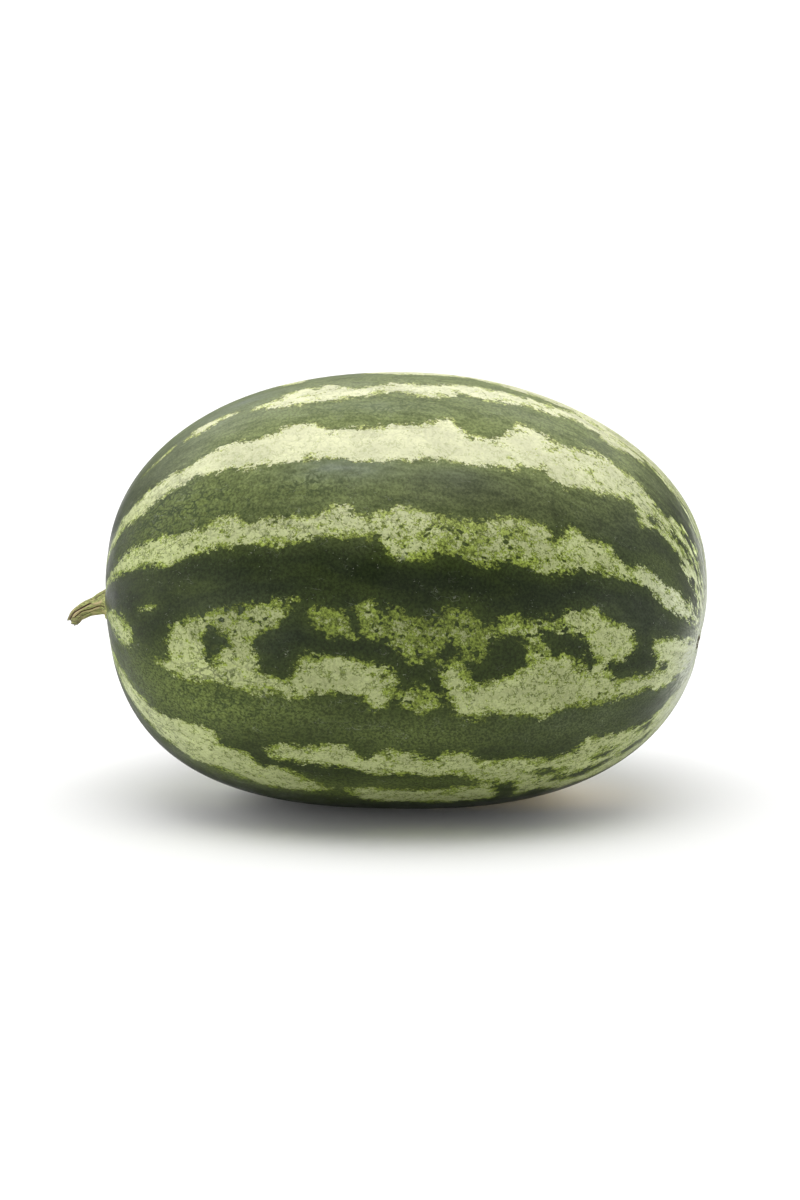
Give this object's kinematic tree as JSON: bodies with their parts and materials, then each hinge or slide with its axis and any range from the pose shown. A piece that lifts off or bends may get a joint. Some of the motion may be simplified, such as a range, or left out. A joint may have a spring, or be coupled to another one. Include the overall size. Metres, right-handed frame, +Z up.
{
  "type": "watermelon",
  "caption": "Whole oblong striped watermelon lying on its side on a small flat spot, with a short curved stub of dried stem at one end.",
  "frame": {"origin": "middle of the small flat spot on the underside that the fruit rests on", "axes": "+Z up; +X along the fruit from the stem end to the blossom end; -Y towards the side with the broken double stripe"},
  "size_m": [0.3494, 0.2412, 0.2375],
  "materials": {
    "rind": "waxy satin skin, dark green with broken pale green stripes from end to end and a creamy yellow patch underneath",
    "stem": "dull, dried olive and tan fibres with dark lengthwise cracks"
  },
  "bodies": {
    "root": {"fruit": "rind", "stem": "stem"}
  },
  "joints": []
}
